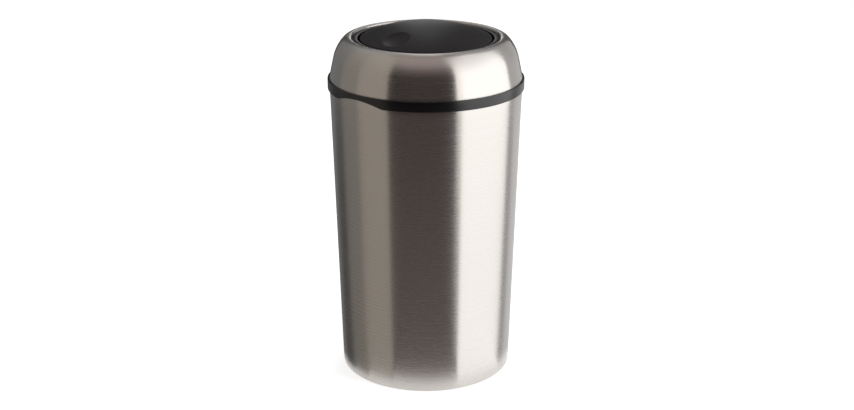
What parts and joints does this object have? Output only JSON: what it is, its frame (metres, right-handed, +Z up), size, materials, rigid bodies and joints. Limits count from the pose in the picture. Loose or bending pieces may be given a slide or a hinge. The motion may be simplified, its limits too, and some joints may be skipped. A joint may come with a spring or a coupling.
{
  "type": "swing-lid trash can",
  "caption": "Round tapered steel can with a lift-off domed lid, a black band with a finger scoop, a self-levelling swing flap with a thumb dimple, and a lift-out inner bucket.",
  "frame": {"origin": "centre of the floor plane under the can, on the can's axis", "axes": "+Z up along the can's axis; -Y is the front, where the flap's thumb dimple is, with the band's finger scoop 5.2 degrees round from it towards -X; the flap turns about an axis along X"},
  "size_m": [0.33, 0.33, 0.6065],
  "materials": {
    "brushed_body_steel": "brushed round the can",
    "brushed_dome_steel": "brushed round the dome",
    "plain_steel": "mill finish",
    "screw_steel": "zinc plated",
    "band_plastic": "satin moulded",
    "bezel_plastic": "satin moulded",
    "flap_plastic": "fine satin moulded",
    "black_moulding": "plain moulded",
    "bucket_plastic": "plain moulded",
    "pad_rubber": "matte"
  },
  "bodies": {
    "can": {"body_shell": "brushed_body_steel", "base_pan": "plain_steel", "base_ring": "black_moulding", "foot_pads": "pad_rubber", "base_screws": "screw_steel"},
    "bucket": {"inner_bucket": "bucket_plastic"},
    "lid": {"lid_band": "band_plastic", "dome_shell": "brushed_dome_steel", "band_screws": "screw_steel", "opening_bezel": "bezel_plastic", "carrier_ring": "black_moulding", "carrier_screws": "screw_steel", "bearing_block_right": "black_moulding", "bearing_block_left": "black_moulding", "bearing_screws": "screw_steel"},
    "flap": {"flap_cover": "flap_plastic", "flap_pan": "flap_plastic", "pivot_pin_right": "screw_steel", "pivot_pin_left": "screw_steel", "counterweight": "plain_steel", "weight_tray": "black_moulding", "tray_screws": "screw_steel", "flap_screws": "screw_steel"}
  },
  "joints": [
    {"name": "bucket_lift", "type": "slide", "parent": "can", "child": "bucket", "axis": [0, 0, 1], "range_m": [0, 0.52]},
    {"name": "lid_lift", "type": "slide", "parent": "bucket", "child": "lid", "axis": [0, 0, 1], "range_m": [0, 0.2]},
    {"name": "flap_swing", "type": "hinge", "parent": "lid", "child": "flap", "pos_m": [0, 0, 0.566], "axis": [1, 0, 0], "range_deg": [-75, 75]}
  ]
}
